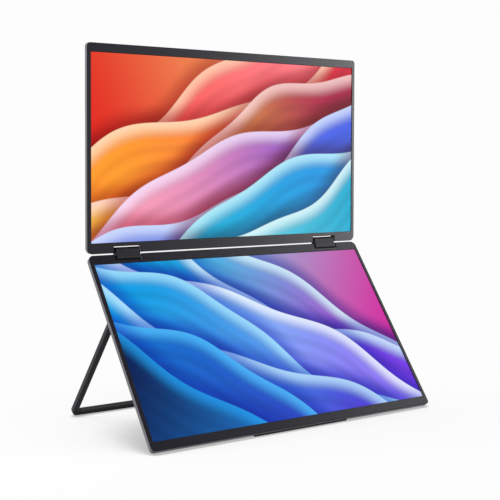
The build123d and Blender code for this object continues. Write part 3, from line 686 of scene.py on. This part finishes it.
# The floor's plain white washes out the shadow, so it carries a contact shade: how far away a piece still
# shades it, the open shares of the sky at which the shade is deepest and ends, the light that is left where
# it is deepest, and the rays that look for pieces
CONTACT_REACH = 0.13
CONTACT_DEEP = 0.52
CONTACT_END = 0.83
CONTACT_LIGHT = 0.52
CONTACT_SAMPLES = 16

# Where the ceiling that reflections see starts to dim and is dimmest, as the upward share of a ray's direction
CEILING_START = 0.25
CEILING_END = 0.75
CEILING_LIGHT = 0.1

# Width and height of each lamp, where it hangs, and whether it shows only in reflections
Lamp = namedtuple("Lamp", "width height place mirrored_only")
LAMPS = {
    "key": Lamp(0.5, 0.6, (1.45, -0.62, 0.95), False),
    "glare": Lamp(0.7, 0.6, (1.78, -1.08, 0.33), True),
    "fill": Lamp(0.8, 0.8, (-1.15, 0.75, 1.15), False),
    "strip": Lamp(0.8, 0.5, (1.30, -0.02, 1.50), True),
}

# The point that all lamps face
LAMP_TARGET = Vector((0.0, 0.06, 0.18))

# Width of the camera's sensor in millimetres, and the nearest distance that it shows in metres
SENSOR_WIDTH = 36.0
NEAR_CLIP = 0.01


class MONITOR_OT_stage(bpy.types.Operator):
    """Set up the floor, the lamps, the white room and the camera"""

    bl_idname = "monitor.stage"
    bl_label = "Stage"

    def execute(self, context):
        scene = context.scene
        stage = scene.monitor_stage
        scene.view_settings.view_transform = "Standard"
        self.lay_floor(scene, stage)
        self.hang_lamps(scene, stage)
        self.light_room(scene, stage)
        self.place_camera(scene, stage)
        return {"FINISHED"}

    def lay_floor(self, scene, stage):
        """A flat paper floor that keeps a faint shadow near the object and is plain white further out."""
        mesh = bpy.data.meshes.new("floor")
        shape = bmesh.new()
        bmesh.ops.create_circle(shape, cap_ends=True, segments=FLOOR_SEGMENTS, radius=FLOOR_RADIUS)
        shape.to_mesh(mesh)
        shape.free()
        floor = bpy.data.objects.new("floor", mesh)
        floor.location = (0.0, 0.0, -FLOOR_DROP)
        scene.collection.objects.link(floor)
        material, tree = new_material("white_paper_floor")
        place = add_node(tree, "ShaderNodeTexCoord").outputs["Object"]
        reach = add_node(
            tree, "ShaderNodeVectorMath", {"operation": "LENGTH"}, {0: place},
        ).outputs["Value"]
        far = add_node(
            tree, "ShaderNodeMapRange", {"interpolation_type": "SMOOTHSTEP"},
            {"Value": reach, "From Min": FLOOR_NEAR, "From Max": FLOOR_FAR, "To Min": FLOOR_NEAR_WHITE},
        ).outputs["Result"]
        open_share = add_node(
            tree, "ShaderNodeAmbientOcclusion", {"samples": CONTACT_SAMPLES}, {"Distance": CONTACT_REACH},
        ).outputs["AO"]
        contact = add_node(
            tree, "ShaderNodeMapRange", {"interpolation_type": "SMOOTHSTEP"},
            {
                "Value": open_share, "From Min": CONTACT_DEEP, "From Max": CONTACT_END,
                "To Min": CONTACT_LIGHT,
            },
        ).outputs["Result"]
        seen = seen_rays(tree)
        tint = add_node(
            tree, "ShaderNodeMix", {"data_type": "RGBA"},
            {MIX_SHARE: seen, MIX_A: toned(stage.bounce_colour), MIX_B: toned(stage.floor_colour)},
        ).outputs[MIX_OUT]
        paper = add_node(tree, "ShaderNodeBsdfDiffuse", inputs={"Color": tint}).outputs["BSDF"]
        white = add_node(
            tree, "ShaderNodeEmission", inputs={"Color": colour(ROOM_WHITE), "Strength": contact},
        ).outputs["Emission"]
        share = add_node(tree, "ShaderNodeMath", {"operation": "MULTIPLY"}, {0: far, 1: seen}).outputs["Value"]
        mix = add_node(tree, "ShaderNodeMixShader", inputs={0: share, 1: paper, 2: white}).outputs["Shader"]
        add_node(tree, "ShaderNodeOutputMaterial", inputs={"Surface": mix})
        mesh.materials.append(material)

    def hang_lamps(self, scene, stage):
        """Soft lamps at the front right and the back left, and two whose glare lies on the bezels."""
        for name, kind in LAMPS.items():
            lamp = bpy.data.lights.new(f"{name}_lamp", "AREA")
            lamp.shape = "RECTANGLE"
            lamp.size = kind.width
            lamp.size_y = kind.height
            lamp.energy = getattr(stage, f"{name}_power")
            holder = bpy.data.objects.new(f"{name}_lamp", lamp)
            holder.location = kind.place
            holder.rotation_euler = (LAMP_TARGET - Vector(kind.place)).to_track_quat("-Z", "Y").to_euler()
            holder.visible_camera = False
            holder.visible_diffuse = not kind.mirrored_only
            scene.collection.objects.link(holder)

    def light_room(self, scene, stage):
        """Even light from all sides; the camera sees plain white, and reflections a ceiling that is dimmer."""
        world = bpy.data.worlds.new("white_room")
        world.use_nodes = True
        tree = world.node_tree
        tree.nodes.clear()
        seen = seen_rays(tree)
        toward = add_node(tree, "ShaderNodeTexCoord").outputs["Generated"]
        rise = add_node(tree, "ShaderNodeSeparateXYZ", inputs={"Vector": toward}).outputs["Z"]
        overhead = add_node(
            tree, "ShaderNodeMapRange", {"interpolation_type": "SMOOTHSTEP"},
            {
                "Value": rise, "From Min": CEILING_START, "From Max": CEILING_END,
                "To Min": 1.0, "To Max": CEILING_LIGHT,
            },
        ).outputs["Result"]
        direct = add_node(tree, "ShaderNodeLightPath").outputs["Is Camera Ray"]
        strength = add_node(
            tree, "ShaderNodeMath", {"operation": "MAXIMUM"}, {0: overhead, 1: direct},
        ).outputs["Value"]
        light = add_node(
            tree, "ShaderNodeBackground", inputs={"Color": colour("#ffffff"), "Strength": stage.world_light},
        ).outputs["Background"]
        white = add_node(
            tree, "ShaderNodeBackground", inputs={"Color": colour(ROOM_WHITE), "Strength": strength},
        ).outputs["Background"]
        mix = add_node(tree, "ShaderNodeMixShader", inputs={0: seen, 1: light, 2: white}).outputs["Shader"]
        add_node(tree, "ShaderNodeOutputWorld", inputs={"Surface": mix})
        scene.world = world

    def place_camera(self, scene, stage):
        """A long lens at the front left, almost level, with its view shifted down."""
        camera = bpy.data.cameras.new("camera")
        camera.lens = stage.lens
        camera.sensor_width = SENSOR_WIDTH
        camera.shift_y = stage.shift
        camera.clip_start = NEAR_CLIP
        holder = bpy.data.objects.new("camera", camera)
        holder.location = stage.camera_place
        holder.rotation_euler = Euler(stage.camera_turn)
        scene.collection.objects.link(holder)
        scene.camera = holder


class MONITOR_PT_sidebar(bpy.types.Panel):
    """Operators and settings of the monitor"""

    bl_idname = "MONITOR_PT_sidebar"
    bl_label = "Dual Portable Monitor"
    bl_space_type = "VIEW_3D"
    bl_region_type = "UI"
    bl_category = "Monitor"

    def draw(self, context):
        for operator in OPERATORS:
            self.layout.operator(operator.bl_idname)
        for name, group in SETTINGS.items():
            box = self.layout.box()
            for field in group.__annotations__:
                box.prop(getattr(context.scene, name), field)


SETTINGS = {
    "monitor_shell": MonitorShellSettings,
    "monitor_picture": MonitorPictureSettings,
    "monitor_stage": MonitorStageSettings,
}
OPERATORS = (
    MONITOR_OT_stage,
    MONITOR_OT_bezels,
    MONITOR_OT_pictures,
    MONITOR_OT_rear_covers,
    MONITOR_OT_hinges,
    MONITOR_OT_backlights,
    MONITOR_OT_electronics,
    MONITOR_OT_buttons,
    MONITOR_OT_kickstand,
)


def register():
    """Registers the settings, the operators and the panel."""
    for group in SETTINGS.values():
        bpy.utils.register_class(group)
    for operator in OPERATORS:
        bpy.utils.register_class(operator)
    bpy.utils.register_class(MONITOR_PT_sidebar)
    for name, group in SETTINGS.items():
        setattr(bpy.types.Scene, name, bpy.props.PointerProperty(type=group))


def unregister():
    """Takes away what register added."""
    for name in SETTINGS:
        delattr(bpy.types.Scene, name)
    bpy.utils.unregister_class(MONITOR_PT_sidebar)
    for operator in reversed(OPERATORS):
        bpy.utils.unregister_class(operator)
    for group in reversed(list(SETTINGS.values())):
        bpy.utils.unregister_class(group)


def main():
    """Dresses the part in order."""
    register()
    bpy.ops.monitor.stage()
    bpy.ops.monitor.bezels()
    bpy.ops.monitor.pictures()
    bpy.ops.monitor.rear_covers()
    bpy.ops.monitor.hinges()
    bpy.ops.monitor.backlights()
    bpy.ops.monitor.electronics()
    bpy.ops.monitor.buttons()
    bpy.ops.monitor.kickstand()


if __name__ == "__main__":
    main()
